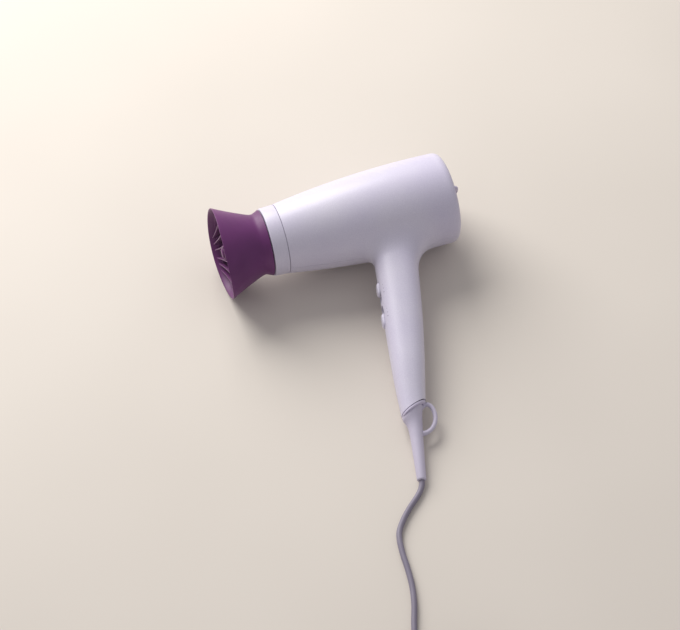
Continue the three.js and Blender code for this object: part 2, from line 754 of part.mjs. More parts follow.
place(design, "front_ring", frontRing(), PEARL);
place(design, "outlet_grille", outletGrille(), BLACK);
place(design, "diffuser_horn", hornShell(), PURPLE);
place(design, "diffuser_blades", bladeInsert(), PURPLE);
place(design, "diffuser_hub_cap", hubCap(), PURPLE);
place(design, "diffuser_snap_ring", snapRing(), BLACK);

place(design, "heater_tube", heaterTube(), MICA);
place(design, "mica_board_a", micaBoard(false), MICA);
place(design, "mica_board_b", micaBoard(true), MICA);
[9, 38].forEach((front, i) => place(design, `heating_coil_${i + 1}`, heatingCoil(front), STEEL));
place(design, "thermostat", thermostat(), BLACK);
place(design, "thermal_fuse", thermalFuse(), STEEL);

place(design, "fan_duct", fanDuct(), BLACK);
place(design, "motor_can", motorCan(), STEEL);
place(design, "motor_end_cap", motorEndCap(), BLACK);
place(design, "rectifier_board", rectifierBoard(), CIRCUIT);
place(design, "motor_shaft", motorShaft(), STEEL);
place(design, "fan_impeller", fanImpeller(), BLACK);
place(design, "filter_mesh", filterMesh(), STEEL);
place(design, "rear_grille", rearGrille(), LILAC);

place(design, "heat_slider", slider(HEAT_SLOT_T + GAP), PEARL);
place(design, "speed_slider", slider(SPEED_SLOT_T + SLIDE_TRAVEL + GAP), PEARL);
place(design, "switch_board", switchBoard(), CIRCUIT);
place(design, "heat_switch", switchBlock(HEAT_SLOT_T), BLACK);
place(design, "speed_switch", switchBlock(SPEED_SLOT_T), BLACK);
place(design, "cable_clamp", cableClamp(), BLACK);
CLAMP_SCREWS.forEach((at, i) => place(design, `clamp_screw_${i + 1}`, clampScrew(at), STEEL));
for (const [name, route] of Object.entries(WIRES)) place(design, name, wire(route), COPPER);

place(design, "end_band", endBand(), LILAC);
place(design, "strain_relief", strainRelief(), RUBBER);
place(design, "hanging_loop", hangingLoop(), RUBBER);

place(dryer, "lead_tube", leadTube(), CORD_GREY);
place(dryer, "lead_coil", leadCoil(), CORD_GREY);
place(dryer, "coil_tie", coilTie(), BLACK);
place(dryer, "plug_body", plugBody(), CORD_GREY);
place(dryer, "plug_relief", plugRelief(), CORD_GREY);
[-1, 1].forEach((side, i) => place(dryer, `plug_pin_${i + 1}`, plugPin(side), STEEL));

export default dryer;
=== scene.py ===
import math

import bmesh
import bpy
import numpy as np
from mathutils import Matrix, Vector


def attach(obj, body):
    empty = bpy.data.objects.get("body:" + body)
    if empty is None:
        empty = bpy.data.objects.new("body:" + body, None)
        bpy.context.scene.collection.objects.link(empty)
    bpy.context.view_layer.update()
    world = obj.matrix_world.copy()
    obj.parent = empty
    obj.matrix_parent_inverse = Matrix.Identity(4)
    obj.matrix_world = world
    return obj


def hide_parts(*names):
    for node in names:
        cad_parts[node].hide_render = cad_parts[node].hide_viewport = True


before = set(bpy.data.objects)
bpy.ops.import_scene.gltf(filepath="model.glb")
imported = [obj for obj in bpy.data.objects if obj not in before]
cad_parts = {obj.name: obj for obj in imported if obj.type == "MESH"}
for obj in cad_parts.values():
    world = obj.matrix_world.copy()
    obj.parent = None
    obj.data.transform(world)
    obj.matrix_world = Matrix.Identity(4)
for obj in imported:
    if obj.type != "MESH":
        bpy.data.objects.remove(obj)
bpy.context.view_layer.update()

# ---------------------------------------------------------------- dimensions
GAP = 0.3
WALL = 2.2
REST_ROLL = math.radians(8.4)

BARREL_RADIUS = 42.3
SEAM_RADIUS = 32.0
WIDEST_X = 130
SHOULDER_X = 151
HOUSING_FRONT_X = -1.3
HOUSING_END_X = 157.2
INLET_RADIUS = 38.6
REAR_CREST_X = 161.2
GRIP_CREST_X = 170.2

RING_FRONT_X = -14.9
RING_RADIUS = 31.2
NOSE_FRONT_X = -24
NOSE_RADIUS = 24.6

MOUTH_X = -57
MOUTH_RADIUS = 42.3
NECK_X = -24.5
NECK_RADIUS = 27.9
COLLAR_REAR_X = -15.4
COLLAR_RADIUS = 30.2
COLLAR_BLEND = 1.1
HORN_WALL = 1.7
MOUTH_BOW, BOW_SIDE = 2.3, math.radians(127)  # how far two opposite sides of the mouth reach forward
BLADE = {"front": MOUTH_X + 2, "rear": MOUTH_X + 17, "hub": 7, "thick": 1.1}
VANES = [-23, -14.5, -5.5, 7, 15.8, 24.5]  # how far each guide vane passes from the axis
VANE_LEAN, VANE_FAN = -59, 0.62  # degrees that the fan of vanes is turned, and spreads per millimetre

HANDLE_TILT = math.radians(12.7)
HANDLE_ROOT_X = 103.1
HANDLE_END_T = 199.5
HANDLE_TAPER_T = 150
END_SLANT = 0.6
BAND_HEIGHT = 2.8
RELIEF_TIP_T = 267
SQUARENESS = 2.25

SLIDE_TRAVEL = 7.4
THUMB_LENGTH, THUMB_WIDTH, THUMB_RISE = 13, 9.6, 2.1
RIDGE_HEIGHT, RIDGE_PITCH = 0.3, 2.8
RAIL_TILT = 0.0457
SLOT_LENGTH = THUMB_LENGTH + SLIDE_TRAVEL + 2 * GAP
HEAT_SLOT_T = 74.6
SPEED_SLOT_T = 98.6
SCREWS = [(131, -9), (174, 0)]
SCREW_SEAT_Z = -7

CORD_RADIUS = 2.5
COIL_CENTRE = (-50.4, -343)
LEAD_HEADING = math.radians(-18)
PLUG_BACK, PLUG_FRONT, PLUG_ASIDE, PLUG_RELIEF = 52, 90, -24, 18
PLUG_HALF_WIDTH, PLUG_HALF_HEIGHT = 17.8, 13
PIN_RADIUS, PIN_LENGTH, PIN_APART = 2.4, 19, 19

MM = 0.001
TO_ROW = (
    Matrix.Scale(MM, 4)
    @ Matrix.Translation((-57.2, 106.71, BARREL_RADIUS))
    @ Matrix.Rotation(REST_ROLL, 4, "X")
)
BESIDE_COIL = (
    Matrix.Scale(MM, 4)
    @ Matrix.Translation((*COIL_CENTRE, 0))
    @ Matrix.Rotation(LEAD_HEADING, 4, "Z")
)


# ---------------------------------------------------------------- camera, which comes first
def camera():
    """The photo's view: from the cord end, 54 degrees up, 18 degrees to the left."""
    data = bpy.data.cameras.new("camera")
    data.lens = 105.88
    data.sensor_width = 36
    data.clip_start = 0.01
    data.clip_end = 50
    eye = Vector((-351.9, -971.0, 1461.0)) * MM
    aim = Vector((-33.76, 9.45, 42.3)) * MM
    cam = bpy.data.objects.new("camera", data)
    cam.location = eye
    cam.rotation_euler = (aim - eye).to_track_quat("-Z", "Y").to_euler()
    bpy.context.collection.objects.link(cam)
    bpy.context.scene.camera = cam


# ---------------------------------------------------------------- materials
def linear(code):
    """A colour such as "C8BCD8" as the shader's linear numbers."""
    channels = [int(code[i : i + 2], 16) / 255 for i in (0, 2, 4)]
    return [c / 12.92 if c <= 0.04045 else ((c + 0.055) / 1.055) ** 2.4 for c in channels]


class Surface:
    """A Principled material with helpers for its procedural detail. Coordinates are the frame's metres."""

    def __init__(self, name, **values):
        self.material = bpy.data.materials.new(name)
        self.material.use_nodes = True
        self.tree = self.material.node_tree
        self.shader = self.tree.nodes["Principled BSDF"]
        for socket, value in values.items():
            self.shader.inputs[socket.replace("_", " ")].default_value = value
        self.where = self.tree.nodes.new("ShaderNodeTexCoord").outputs["Object"]

    def node(self, kind, **inputs):
        node = self.tree.nodes.new(kind)
        for name, value in inputs.items():
            socket = node.inputs[name.replace("_", " ")]
            if isinstance(value, bpy.types.NodeSocket):
                self.tree.links.new(value, socket)
            else:
                socket.default_value = value
        return node

    def noise(self, grain_mm, detail=3.0, stretch=(1, 1, 1)):
        """Noise whose blobs are about that many millimetres across."""
        place = self.node("ShaderNodeMapping", Vector=self.where, Scale=stretch)
        texture = self.node("ShaderNodeTexNoise", Vector=place.outputs[0], Detail=detail)
        texture.inputs["Scale"].default_value = 1 / (grain_mm * MM)
        return texture.outputs["Fac"]

    def ramp(self, value, *stops):
        """Places and colours, mixed by a value."""
        ramp = self.node("ShaderNodeValToRGB", Fac=value)
        elements = ramp.color_ramp.elements
        while len(elements) < len(stops):
            elements.new(0.5)
        for element, (place, colour) in zip(elements, stops):
            element.position = place
            element.color = (*colour, 1)
        return ramp.outputs["Color"]

    def spread(self, value, low, high):
        """Maps a noise value's middle range to low..high."""
        scale = self.node("ShaderNodeMapRange", Value=value)
        for name, number in zip(("From Min", "From Max", "To Min", "To Max"), (0.3, 0.7, low, high)):
            scale.inputs[name].default_value = number
        return scale.outputs["Result"]

    def link(self, output, socket):
        self.tree.links.new(output, self.shader.inputs[socket])
        return self

    def colour(self, output):
        return self.link(output, "Base Color")

    def roughness(self, output):
        return self.link(output, "Roughness")

    def bump(self, height, depth_mm, below=None):
        bump = self.node("ShaderNodeBump", Height=height, Distance=depth_mm * MM)
        bump.inputs["Strength"].default_value = 1.0
        if below:
            self.tree.links.new(below, bump.inputs["Normal"])
        self.link(bump.outputs["Normal"], "Normal")
        return bump.outputs["Normal"]


def moulded_plastic(name, light, dark, low, high, grain_mm=0.35, depth_mm=0.004, **values):
    """Moulded plastic: a slow drift in colour, a fine grain, and a slightly uneven gloss."""
    surface = Surface(name, **values)
    surface.colour(surface.ramp(surface.noise(38), (0.3, linear(dark)), (0.7, linear(light))))
    surface.roughness(surface.spread(surface.noise(9, 4), low, high))
    waves = surface.bump(surface.noise(22, 1), 0.05)
    surface.bump(surface.noise(grain_mm, 2), depth_mm, below=waves)
    return surface.material


def pearl_plastic():
    """The housing: satin lilac plastic with a fine pearl pigment under a thin clear surface."""
    surface = Surface("pearl_lilac", Coat_Weight=0.22, Coat_Roughness=0.24, Sheen_Weight=0.08)
    flakes = surface.node("ShaderNodeTexVoronoi", Vector=surface.where)
    flakes.inputs["Scale"].default_value = 1 / (0.28 * MM)
    pigment = surface.ramp(
        flakes.outputs["Color"], (0.0, linear("CDC8D9")), (0.55, linear("D5D0E0")), (1.0, linear("E0DCE9"))
    )
    drift = surface.ramp(surface.noise(60), (0.3, linear("F4F2FA")), (0.7, linear("FFFFFF")))
    tint = surface.node("ShaderNodeMix")
    tint.data_type = "RGBA"
    tint.blend_type = "MULTIPLY"
    tint.inputs[0].default_value = 1
    surface.tree.links.new(pigment, tint.inputs[6])
    surface.tree.links.new(drift, tint.inputs[7])
    surface.colour(tint.outputs[2])
    surface.roughness(surface.spread(surface.noise(7, 4), 0.4, 0.47))
    waves = surface.bump(surface.noise(26, 1), 0.06)
    surface.bump(surface.noise(0.3, 2), 0.0025, below=waves)
    return surface.material


def metal(name, light, dark, low, high, stretch=(1, 1, 1)):
    surface = Surface(name, Metallic=1.0)
    surface.colour(surface.ramp(surface.noise(4, 5), (0.3, linear(dark)), (0.7, linear(light))))
    streaks = surface.noise(0.9, 3, stretch)
    surface.roughness(surface.spread(streaks, low, high))
    surface.bump(streaks, 0.004)
    return surface.material


def mica_sheet():
    surface = Surface("mica_sheet", Coat_Weight=0.15)
    flakes = surface.noise(3, 8, (1, 1, 0.4))
    tan, sand, cream = linear("9C8257"), linear("BCA67C"), linear("D6C7A2")
    surface.colour(surface.ramp(flakes, (0.35, tan), (0.5, sand), (0.7, cream)))
    surface.roughness(surface.spread(flakes, 0.5, 0.8))
    surface.bump(flakes, 0.05)
    return surface.material


def woven_wire():
    """The dust filter: a fine square weave of steel wire, with painted shade in its openings for the dim
    inside seen through them.
    """
    surface = Surface("woven_wire", Metallic=0.6, Roughness=0.5)
    turned = surface.node("ShaderNodeMapping", Vector=surface.where)
    heights = []
    for direction in ("Y", "Z"):
        waves = surface.node("ShaderNodeTexWave", Vector=turned.outputs[0])
        waves.bands_direction = direction
        waves.inputs["Scale"].default_value = 0.31 / (0.9 * MM)
        heights.append(waves.outputs["Fac"])
    weave = surface.node("ShaderNodeMath")
    weave.operation = "MAXIMUM"
    surface.tree.links.new(heights[0], weave.inputs[0])
    surface.tree.links.new(heights[1], weave.inputs[1])
    # painted shade: the openings between the wires are coloured near black for the shaded inside behind the
    # weave
    surface.colour(surface.ramp(weave.outputs[0], (0.45, linear("0A0A0C")), (0.9, linear("6D6C74"))))
    surface.bump(weave.outputs[0], 0.12)
    return surface.material


def materials():
    """Every material by its short name."""
    return {
        "pearl": pearl_plastic(),
        "lilac": moulded_plastic("lilac_plastic", "CAC2D8", "C2B9D1", 0.4, 0.5),
        "purple": moulded_plastic(
            "purple_plastic", "6B286B", "5D1F5E", 0.46, 0.56, 0.5, 0.012, Sheen_Weight=0.08
        ),
        "soft": moulded_plastic("soft_lilac", "C7C0D3", "BEB7CB", 0.5, 0.62, 0.6, 0.01),
        "cord": moulded_plastic("lead_sleeve", "8A8394", "7C7587", 0.5, 0.62, 0.8, 0.02),
        "black": moulded_plastic("black_plastic", "242329", "19181D", 0.45, 0.6, 0.7, 0.02),
        "mark": moulded_plastic("printed_grey", "9A91AA", "8F869F", 0.5, 0.6),
        "steel": metal("bright_steel", "C9CBCF", "A9ABB1", 0.25, 0.42, (1, 1, 6)),
        "nichrome": metal("resistance_wire", "A79F97", "6E6660", 0.35, 0.5),
        "nickel": metal("plated_pin", "D8D5CF", "BFBCB6", 0.16, 0.3, (5, 1, 1)),
        "red_wire": moulded_plastic("wire_sleeve_red", "A5312A", "8E2720", 0.4, 0.5),
        "blue_wire": moulded_plastic("wire_sleeve_blue", "2F5FA8", "274F8E", 0.4, 0.5),
        "circuit": moulded_plastic("circuit_board", "2F6B3C", "23552F", 0.4, 0.55),
        "mica": mica_sheet(),
        "weave": woven_wire(),
    }


# ---------------------------------------------------------------- meshes
def piece(name, body, slot, material, vertices, faces, place=TO_ROW, stands_for=()):
    """A new smooth piece that rides on a body and stands for some CAD nodes."""
    mesh = bpy.data.meshes.new(name)
    mesh.from_pydata([tuple(map(float, v)) for v in vertices], [], [list(map(int, f)) for f in faces])
    return finished(name, body, material, mesh, place, stands_for)


def finished(name, body, material, mesh, place=TO_ROW, stands_for=()):
    mesh.transform(place)
    work = bmesh.new()
    work.from_mesh(mesh)
    bmesh.ops.recalc_face_normals(work, faces=work.faces)
    work.to_mesh(mesh)
    work.free()
    mesh.shade_smooth()
    mesh.materials.append(material)
    obj = bpy.data.objects.new(name, mesh)
    bpy.context.collection.objects.link(obj)
    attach(obj, body)
    if stands_for:
        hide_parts(*stands_for)
    return obj


def bevelled(obj, width_mm, segments=3, angle=40):
    bevel = obj.modifiers.new("bevel", "BEVEL")
    bevel.width = width_mm * MM
    bevel.segments = segments
    bevel.limit_method = "ANGLE"
    bevel.angle_limit = math.radians(angle)
    bevel.harden_normals = True
    return obj


def rounded(profile, closed_loop, steps=5):
    """A profile of (x, radius, fillet) corners as points, each corner turned into an arc."""
    points = []
    count = len(profile)
    for i, (x, r, fillet) in enumerate(profile):
        here = Vector((x, r))
        if fillet == 0 or (not closed_loop and i in (0, count - 1)):
            points.append(here)
            continue
        before = Vector(profile[i - 1][:2]) - here
        after = Vector(profile[(i + 1) % count][:2]) - here
        reach = min(fillet, 0.49 * before.length, 0.49 * after.length)
        start, end = here + before.normalized() * reach, here + after.normalized() * reach
        for k in range(steps + 1):
            u = k / steps
            points.append((1 - u) ** 2 * start + 2 * u * (1 - u) * here + u**2 * end)
    return points


def loft(rings, closed_rows=False, cap_ends=False):
    """Quads between rings of equally many points."""
    across = len(rings[0])
    vertices = [point for ring in rings for point in ring]
    faces = []
    rows = len(rings)
    for i in range(rows if closed_rows else rows - 1):
        for j in range(across):
            a, b = i * across + j, i * across + (j + 1) % across
            up = ((i + 1) % rows) * across
            faces.append((a, b, up + (j + 1) % across, up + j))
    if cap_ends:
        faces.append(tuple(range(across)))
        faces.append(tuple((rows - 1) * across + j for j in range(across)))
    return vertices, faces


def turned(profile, segments=144, closed_loop=True):
    """Turns a profile about the barrel's axis. An open one starts and ends on the axis."""
    points = rounded(profile, closed_loop)
    rings = []
    for x, r in points:
        angles = [2 * math.pi * j / segments for j in range(segments)]
        rings.append([(x, max(r, 1e-3) * math.cos(a), max(r, 1e-3) * math.sin(a)) for a in angles])
    return loft(rings, closed_rows=closed_loop, cap_ends=not closed_loop)


def swept(points, radius, sides=20):
    """A round tube along points; radius is a function of the share of the way along."""
    path = [Vector(p) for p in points]
    rings = []
    across = None
    for i, here in enumerate(path):
        along = (path[min(i + 1, len(path) - 1)] - path[max(i - 1, 0)]).normalized()
        if across is None:
            across = along.orthogonal()
        across = (across - along * across.dot(along)).normalized()
        other = along.cross(across)
        size = radius(i / (len(path) - 1))
        angles = [2 * math.pi * j / sides for j in range(sides)]
        rings.append([here + size * (math.cos(a) * across + math.sin(a) * other) for a in angles])
    return loft(rings, cap_ends=True)


def smooth_path(points, per_span=8):
    """Catmull-Rom points through a route."""
    path = [Vector(p) for p in points]
    path = [2 * path[0] - path[1], *path, 2 * path[-1] - path[-2]]
    smooth = []
    for a, b, c, d in zip(path, path[1:], path[2:], path[3:]):
        for k in range(per_span):
            u = k / per_span
            squared = (2 * a - 5 * b + 4 * c - d) * u**2
            cubed = (3 * b - a - 3 * c + d) * u**3
            smooth.append(0.5 * (2 * b + (c - a) * u + squared + cubed))
    return [*smooth, path[-2]]


# ---------------------------------------------------------------- the handle's frame
def ease(u):
    u = np.clip(u, 0, 1)
    return u * u * (3 - 2 * u)


def taper(t):
    return ease((t - HANDLE_TAPER_T) / 56)


def past(t, place):
    """Rises from 0 in proportion to how far t is past a place, after a soft bend there."""
    return 8 * np.logaddexp(0, (t - place) / 8)


def front_half(t):
    return 22.25 - RAIL_TILT * t - 0.07 * past(t, 168)


def rear_half(t):
    return 20.85 - 0.027 * t - 0.05 * past(t, 118)


def side_half(t):
    return 18.5 - 0.02 * t - 2.6 * taper(t)


def from_handle(t, p, z):
    sin, cos = math.sin(HANDLE_TILT), math.cos(HANDLE_TILT)
    return Vector((HANDLE_ROOT_X - sin * t - cos * p, sin * p - cos * t, z))


def handle_direction(t, p, z=0):
    return (from_handle(t, p, z) - from_handle(0, 0, 0)).normalized()


# Handle coordinates (p, -t, z) to the design frame, and on to the frame's metres.
FROM_HANDLE = Matrix.Translation(from_handle(0, 0, 0)) @ Matrix(
    (
        (-math.cos(HANDLE_TILT), math.sin(HANDLE_TILT), 0, 0),
        (math.sin(HANDLE_TILT), math.cos(HANDLE_TILT), 0, 0),
        (0, 0, 1, 0),
        (0, 0, 0, 1),
    )
)
HANDLE_TO_ROW = TO_ROW @ FROM_HANDLE


# ---------------------------------------------------------------- housing skin
def barrel_radius(x):
    return BARREL_RADIUS - (BARREL_RADIUS - SEAM_RADIUS) * (1 - x / WIDEST_X) ** 2


def barrel_field(x, y, z):
    """Distance outside the barrel, whose rear shoulder is a quarter of an ellipse."""
    r = np.hypot(y, z)
    edge = barrel_radius(SHOULDER_X) - INLET_RADIUS
    back = np.maximum(x - SHOULDER_X, 0) / (HOUSING_END_X - SHOULDER_X)
    out = np.maximum(r - INLET_RADIUS, 0) / edge
    return np.where(x > SHOULDER_X, (np.hypot(back, out) - 1) * edge, r - barrel_radius(x))


def handle_field(x, y, z):
    """Distance outside the handle, and the place's share of front, rear and side."""
    sin, cos = math.sin(HANDLE_TILT), math.cos(HANDLE_TILT)
    t = sin * (HANDLE_ROOT_X - x) - cos * y
    p = cos * (HANDLE_ROOT_X - x) + sin * y
    level = t
    for _ in range(3):
        level = t - END_SLANT * p * taper(level)
    half = np.where(p > 0, front_half(level), rear_half(level))
    size = (np.abs(p / half) ** SQUARENESS + np.abs(z / side_half(level)) ** SQUARENESS) ** (1 / SQUARENESS)
    out = np.hypot(p, z)
    field = out * (size - 1) / np.maximum(size, 1e-6)
    return np.maximum(field, 10 - t), p / np.maximum(out, 1e-6)


FRONT_BLEND, REAR_BLEND, SIDE_BLEND = 12, 27, 13


def housing_field(x, y, z):
    """Barrel and handle as one skin, with a soft fillet that is widest behind the handle."""
    barrel = barrel_field(x, y, z)
    handle, forward = handle_field(x, y, z)
    blend = (
        SIDE_BLEND
        + (FRONT_BLEND - SIDE_BLEND) * np.maximum(forward, 0) ** 2
        + (REAR_BLEND - SIDE_BLEND) * np.maximum(-forward, 0) ** 2
    )
    shared = np.maximum(blend - np.abs(barrel - handle), 0)
    return np.minimum(barrel, handle) - shared**2 / (4 * blend)


def onto_skin(points, field, rounds=4):
    """Moves points down the field's slope until they are on its zero level. Returns slopes too."""
    step = 0.01
    for _ in range(rounds):
        value = field(*points.T)
        slope = np.stack(
            [
                (field(*(points + step * axis).T) - field(*(points - step * axis).T)) / (2 * step)
                for axis in np.eye(3)
            ],
            axis=1,
        )
        points = points - slope * (value / np.maximum((slope**2).sum(1), 0.05))[:, None]
    return points, slope


def skin(field, low, high, step):
    """A mesh of even quads on the field's zero level, inside a box."""
    axes = [np.arange(a, b + step, step) for a, b in zip(low, high)]
    inside = field(*np.meshgrid(*axes, indexing="ij")) < 0
    wide, deep, tall = [n - 1 for n in inside.shape]
    corners = sum(
        inside[i : i + wide, j : j + deep, k : k + tall].astype(int)
        for i in (0, 1)
        for j in (0, 1)
        for k in (0, 1)
    )
    cells = np.argwhere((corners > 0) & (corners < 8))
    number = -np.ones(corners.shape, int)
    number[tuple(cells.T)] = np.arange(len(cells))
    points = np.array(low) + (cells + 0.5) * step
    quads = []
    for axis in range(3):
        u, v = [a for a in range(3) if a != axis]
        crossing = np.diff(inside.astype(int), axis=axis)
        edges = np.argwhere(crossing != 0)
        fits = np.ones(len(edges), bool)
        for a in (u, v):
            fits &= (edges[:, a] > 0) & (edges[:, a] < inside.shape[a] - 1)
        edges = edges[fits]
        around = []
        for du, dv in ((1, 1), (0, 1), (0, 0), (1, 0)):
            cell = edges.copy()
            cell[:, u] -= du
            cell[:, v] -= dv
            around.append(number[tuple(cell.T)])
        quad = np.stack(around, axis=1)
        leaves = (crossing[tuple(edges.T)] < 0) != (axis == 1)
        quads.append(np.where(leaves[:, None], quad, quad[:, ::-1]))
    quads = np.concatenate(quads)
    sides = np.concatenate([quads[:, [i, (i + 1) % 4]] for i in range(4)])
    for _ in range(6):
        points, _ = onto_skin(points, field, 2)
        total, count = np.zeros_like(points), np.zeros(len(points))
        for a, b in ((0, 1), (1, 0)):
            np.add.at(total, sides[:, a], points[sides[:, b]])
            np.add.at(count, sides[:, a], 1)
        points = 0.4 * points + 0.6 * total / np.maximum(count, 1)[:, None]
    points, _ = onto_skin(points, field, 5)
    return points, quads


def trim(work, point, outward):
    """Cuts a mesh with a plane and drops what lies outward of it."""
    everything = work.verts[:] + work.edges[:] + work.faces[:]
    bmesh.ops.bisect_plane(
        work, geom=everything, dist=1e-5, plane_co=point, plane_no=outward, clear_outer=True
    )


def cut_hole(work, planes, near):
    """Cuts the hole that a ring of planes bounds out of the faces near a point."""
    centre, reach = near
    held = [f for f in work.faces if (f.calc_center_median() - centre).length < reach]
    for point, outward in planes:
        geom = list({v for f in held for v in f.verts}) + list({e for f in held for e in f.edges}) + held
        cut = bmesh.ops.bisect_plane(work, geom=geom, dist=1e-5, plane_co=point, plane_no=outward)
        held = [
            f
            for f in cut["geom"]
            if isinstance(f, bmesh.types.BMFace) and (f.calc_center_median() - point).dot(outward) < 0
        ]
    bmesh.ops.delete(work, geom=held, context="FACES")


def slot_planes(top, corner=3.4, steps=5):
    """Planes round a slider's slot, whose corners are rounded."""
    length, width = SLOT_LENGTH, THUMB_WIDTH + 2 * GAP
    planes = []
    for quarter in range(4):
        for k in range(steps):
            angle = math.pi / 2 * (quarter + (k + 0.5) / steps)
            along, aside = math.cos(angle), math.sin(angle)
            t = top + length / 2 + math.copysign(length / 2 - corner, along) + corner * along
            z = math.copysign(width / 2 - corner, aside) + corner * aside
            planes.append((from_handle(t, front_half(t), z), handle_direction(along, 0, aside)))
    return planes


def round_planes(t, p, radius, sides=20):
    """Planes round a hole across the handle."""
    planes = []
    for k in range(sides):
        angle = 2 * math.pi * k / sides
        along, forward = math.cos(angle), math.sin(angle)
        planes.append(
            (from_handle(t + radius * along, p + radius * forward, 0), handle_direction(along, forward))
        )
    return planes


def handle_end_plane(t):
    """The slanted plane across the handle's end, and its direction out of the handle."""
    rise = END_SLANT * taper(t)
    return from_handle(t, 0, 0), handle_direction(1, -rise)


def housing_shells(paint):
    """Both shells: one skin, parted at z = 0, cut at its ends, opened for the sliders, and thickened."""
    points, quads = skin(housing_field, (-3.3, -216, -4), (162.8, 46, 46), 1.1)
    for side, name in ((1, "left"), (-1, "right")):
        work = bmesh.new()
        verts = [work.verts.new((x, y, side * z)) for x, y, z in points]
        for quad in quads:
            work.faces.new([verts[i] for i in (quad if side > 0 else quad[::-1])])
        seam = GAP / 2
        trim(work, Vector((0, 0, side * seam)), Vector((0, 0, -side)))
        trim(work, Vector((HOUSING_FRONT_X, 0, 0)), Vector((-1, 0, 0)))
        trim(work, Vector((HOUSING_END_X - 0.1, 0, 0)), Vector((1, 0, 0)))
        trim(work, *handle_end_plane(HANDLE_END_T))
        for top in (HEAT_SLOT_T, SPEED_SLOT_T):
            middle = top + SLOT_LENGTH / 2
            cut_hole(work, slot_planes(top), (from_handle(middle, front_half(middle), 0), 20))
        if side < 0:
            for t, p in SCREWS:
                cut_hole(work, round_planes(t, p, 3.1), (from_handle(t, p, -side_half(t)), 12))
        loose = [v for v in work.verts if not v.link_faces]
        bmesh.ops.delete(work, geom=loose, context="VERTS")
        mesh = bpy.data.meshes.new(f"{name}_shell")
        work.to_mesh(mesh)
        work.free()
        shell = finished(
            f"{name}_shell", "housing", paint["pearl"], mesh, stands_for=[f"{name}_housing"]
        )
        wall = shell.modifiers.new("wall", "SOLIDIFY")
        wall.thickness = WALL * MM
        wall.offset = -1
        bevelled(shell, 0.28, 2, 60)


def screw_wells(paint):
    """The sunk tubes in the right shell that the screws' heads sit in."""
    for number, (t, p) in enumerate(SCREWS, 1):
        outer_z = -side_half(t) + 1.6
        rings = []
        for z, r in ((outer_z, 3.2), (SCREW_SEAT_Z, 3.2), (SCREW_SEAT_Z, 4.1), (outer_z + 1, 4.1)):
            angles = [2 * math.pi * j / 32 for j in range(32)]
            rings.append([from_handle(t + r * math.cos(a), p + r * math.sin(a), z) for a in angles])
        well = loft(rings, closed_rows=True)
        piece(f"screw_well_{number}", "housing", "pearl_shell", paint["pearl"], *well)


def slider_marks(paint):
    """Plain printed dots beside each slider's three positions, growing with the setting."""
    for slot, top in (("heat", HEAT_SLOT_T), ("speed", SPEED_SLOT_T)):
        vertices, faces = [], []
        for k in range(3):
            t = top + THUMB_LENGTH / 2 + k * SLIDE_TRAVEL / 2
            size = 0.35 + 0.12 * k
            dot = [(0, 0)] + [(math.cos(a) * size, math.sin(a) * size) for a in np.arange(16) * math.pi / 8]
            centre = np.array([from_handle(t + dt, front_half(t) - 4, 9.5 + dz) for dt, dz in dot])
            skin_points, slope = onto_skin(centre, housing_field, 8)
            lifted = skin_points + 0.03 * slope / np.linalg.norm(slope, axis=1)[:, None]
            first = len(vertices)
            vertices.extend(lifted)
            faces.extend([first, first + 1 + j, first + 1 + (j + 1) % 16] for j in range(16))
        marks = piece(f"{slot}_marks", "housing", "black_plastic", paint["mark"], vertices, faces)
        sheet = marks.modifiers.new("print", "SOLIDIFY")
        sheet.thickness = 0.05 * MM


# ---------------------------------------------------------------- outlet and diffuser
def front_ring(paint):
    profile = [
        (4, SEAM_RADIUS - WALL - GAP, 0.3),
        (HOUSING_FRONT_X - GAP, SEAM_RADIUS - WALL - GAP, 0),
        (HOUSING_FRONT_X - GAP, RING_RADIUS + 0.45, 0.4),
        (RING_FRONT_X, RING_RADIUS, 1.2),
        (RING_FRONT_X, NOSE_RADIUS, 0.6),
        (NOSE_FRONT_X, NOSE_RADIUS, 0.7),
        (NOSE_FRONT_X, NOSE_RADIUS - 1.6, 0.5),
        (RING_FRONT_X + 1.8, NOSE_RADIUS - 1.6, 0.6),
        (RING_FRONT_X + 1.8, RING_RADIUS - WALL, 1),
        (4, RING_RADIUS - WALL - 0.6, 0.3),
    ]
    piece(
        "outlet_ring", "housing", "pearl_shell", paint["pearl"], *turned(profile), stands_for=["front_ring"]
    )


def outlet_guard(paint):
    """Concentric rings on four spokes."""
    front = RING_FRONT_X + 4
    for number, radius in enumerate((9, 16, 23, 28), 1):
        profile = [(x, r, 0.4) for x, r in (
            (front, radius - 1.1), (front, radius), (front + 2, radius), (front + 2, radius - 1.1)
        )]
        piece(
            f"guard_ring_{number}", "housing", "black_plastic", paint["black"], *turned(profile, 96),
            stands_for=["outlet_grille"] if number == 1 else [],
        )
    for number in range(4):
        turn = Matrix.Rotation(number * math.pi / 2, 4, "X")
        spoke = [(0, 2.6), (0.7, 27.4)]
        rings = [
            [turn @ Vector((front + dx, r, dz)) for dx, dz in ((0, -0.6), (2, -0.6), (2, 0.6), (0, 0.6))]
            for _, r in spoke
        ]
        bevelled(
            piece(
                f"guard_spoke_{number + 1}", "housing", "black_plastic", paint["black"],
                *loft(rings, cap_ends=True),
            ),
            0.2, 2,
        )
    hub = [(front, 0, 0), (front, 3, 0.6), (front + 2, 3, 0.4), (front + 2, 0, 0)]
    piece("guard_hub", "housing", "black_plastic", paint["black"], *turned(hub, 48, closed_loop=False))


def horn_radius(x):
    u = (x - NECK_X) / (MOUTH_X - NECK_X)
    return NECK_RADIUS + (MOUTH_RADIUS - NECK_RADIUS) * (0.86 * u + 0.14 * u * u)


